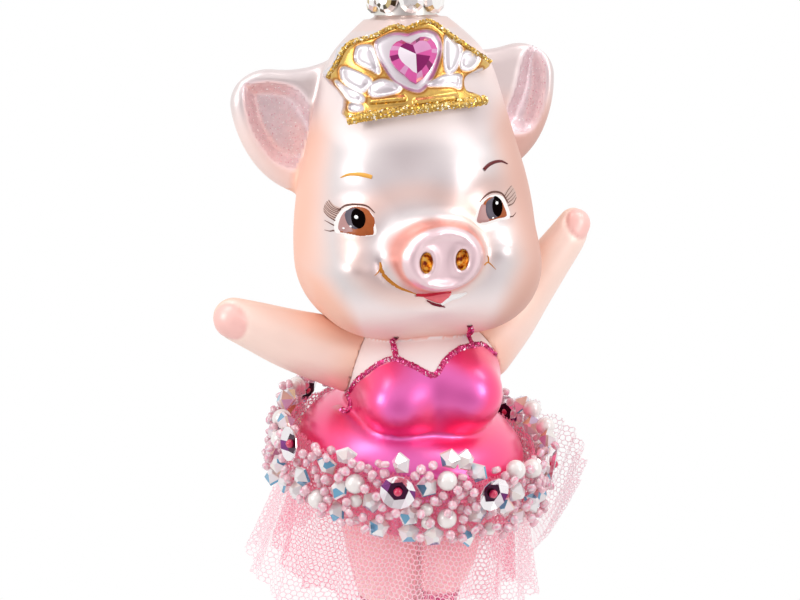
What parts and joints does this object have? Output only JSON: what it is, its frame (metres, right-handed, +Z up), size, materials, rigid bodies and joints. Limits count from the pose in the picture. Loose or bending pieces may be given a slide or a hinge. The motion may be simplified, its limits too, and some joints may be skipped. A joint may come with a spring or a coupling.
{
  "type": "hanging pig ballerina ornament",
  "caption": "Hanging blown-glass pig ballerina with a tiara, a beaded tulle tutu, raised arms and pointed slippers, under a capped neck with a sliding wire eye.",
  "frame": {"origin": "centre of the wire hanging eye at the top", "axes": "+Z up along the hanging line, the pig faces -Y, +X to the pig's left"},
  "size_m": [0.08, 0.0665, 0.1589],
  "materials": {
    "pearl_glass": "silvered inside, satin pearl and pink lacquer outside",
    "peach_glass": "matt peach lacquer with pink trotters",
    "gilt_glass": "gold ribs round silver panes",
    "heart_stone": "cut and foiled",
    "gold_glitter": "loose glitter",
    "pink_glitter": "loose glitter",
    "cap_metal": "silver",
    "wire": "bright",
    "rhinestone": "cut and foiled",
    "pale_tulle": "hexagonal net",
    "salmon_tulle": "hexagonal net",
    "ribbon": "gathered",
    "pearl": "pearl lustre",
    "seed_glass": "iridescent",
    "crystal_glass": "faceted, iridescent",
    "sequin_plastic": "metallic"
  },
  "bodies": {
    "hanger": {"hanger_loop": "wire"},
    "figure": {"glass_body": "pearl_glass", "right_arm": "peach_glass", "left_arm": "peach_glass", "right_leg": "peach_glass", "left_leg": "peach_glass", "slipper_glitter": "pink_glitter", "neck_cap": "cap_metal", "cap_rhinestones": "rhinestone", "tiara": "gilt_glass", "heart_crystal": "heart_stone", "tiara_glitter": "gold_glitter", "neckline_glitter": "pink_glitter", "tutu_band": "ribbon", "tulle_outer": "pale_tulle", "tulle_inner": "salmon_tulle", "tulle_ruffle": "pale_tulle", "pearls_large": "pearl", "pearls_small": "pearl", "seed_beads": "seed_glass", "crystal_beads": "crystal_glass", "sequins": "sequin_plastic", "sequin_beads": "seed_glass"}
  },
  "joints": [
    {"name": "hanger_slide", "type": "slide", "parent": "hanger", "child": "figure", "axis": [0, 0, -1], "range_m": [0, 0.004]}
  ]
}
